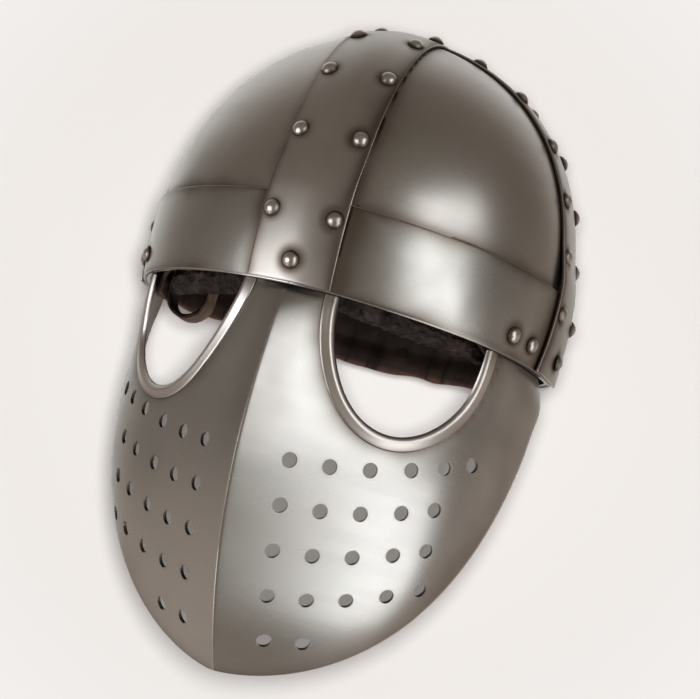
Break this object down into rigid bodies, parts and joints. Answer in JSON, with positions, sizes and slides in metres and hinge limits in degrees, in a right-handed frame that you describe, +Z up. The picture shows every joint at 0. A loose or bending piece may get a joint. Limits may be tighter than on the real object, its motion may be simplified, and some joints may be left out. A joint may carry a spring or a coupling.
{
  "type": "skull cap helmet",
  "caption": "Domed steel helmet with riveted bands, a fixed keeled face mask with rimmed eye openings and breath holes, a leather liner and a chin strap.",
  "frame": {"origin": "middle of the head opening, in the plane of the brow rim", "axes": "+Z up to the crown, -Y out of the face, +X to the wearer's left"},
  "size_m": [0.2034, 0.2184, 0.3007],
  "materials": {
    "skull_steel": "antiqued, satin, darkened in the hollows and beside the bands",
    "band_steel": "antiqued satin with bright edges",
    "mask_steel": "brushed satin, darker towards the cheeks",
    "rim_steel": "polished on its crown",
    "rivet_steel": "domed, polished, dark at the foot",
    "buckle_steel": "satin",
    "liner_leather": "matt, creased, raw reddish lower edge",
    "roll_suede": "crumpled suede",
    "strap_leather": "suede on one side, black on the other",
    "lace": "round lace"
  },
  "bodies": {
    "helmet": {"skull_plate_front_left": "skull_steel", "skull_plate_front_right": "skull_steel", "skull_plate_rear_left": "skull_steel", "skull_plate_rear_right": "skull_steel", "brow_band": "band_steel", "cross_band": "band_steel", "face_mask": "mask_steel", "eye_rim_left": "rim_steel", "eye_rim_right": "rim_steel", "rivets_front_arm": "rivet_steel", "rivets_rear_arm": "rivet_steel", "rivets_left_arm": "rivet_steel", "rivets_right_arm": "rivet_steel", "rivet_nose": "rivet_steel", "rivet_nape": "rivet_steel", "rivets_temple_left": "rivet_steel", "rivets_temple_right": "rivet_steel", "rivet_ear_left": "rivet_steel", "rivet_ear_right": "rivet_steel", "liner_headband": "liner_leather", "liner_brow_roll": "roll_suede", "liner_leaf_1": "liner_leather", "liner_leaf_2": "liner_leather", "liner_leaf_3": "liner_leather", "liner_leaf_4": "liner_leather", "liner_leaf_5": "liner_leather", "liner_leaf_6": "liner_leather", "liner_leaf_7": "liner_leather", "liner_leaf_8": "liner_leather", "liner_crown_lace": "lace", "strap_washer_left": "rivet_steel", "strap_washer_right": "rivet_steel"},
    "strap_tail": {"chin_strap_tail": "strap_leather"},
    "strap_buckle_end": {"chin_strap_buckle_end": "strap_leather", "buckle_rivet": "rivet_steel"},
    "keeper": {"strap_keeper": "strap_leather"},
    "frame": {"buckle_frame": "buckle_steel"},
    "prong": {"buckle_prong": "buckle_steel"}
  },
  "joints": [
    {"name": "strap_tail_swing", "type": "hinge", "parent": "helmet", "child": "strap_tail", "pos_m": [-0.088, -0.0108, 0.009], "axis": [1, 0, 0], "range_deg": [-5, 12]},
    {"name": "strap_buckle_end_swing", "type": "hinge", "parent": "helmet", "child": "strap_buckle_end", "pos_m": [0.088, -0.0108, 0.009], "axis": [1, 0, 0], "range_deg": [-2, 40]},
    {"name": "keeper_slide", "type": "slide", "parent": "strap_buckle_end", "child": "keeper", "axis": [0, 0, 1], "range_m": [-0.001, 0.006]},
    {"name": "buckle_frame_swing", "type": "hinge", "parent": "strap_buckle_end", "child": "frame", "pos_m": [0.082, -0.0108, -0.042], "axis": [0, 1, 0], "range_deg": [-3, 60]},
    {"name": "buckle_prong_swing", "type": "hinge", "parent": "frame", "child": "prong", "pos_m": [0.082, -0.0108, -0.042], "axis": [0, 1, 0], "range_deg": [0, 45]}
  ]
}
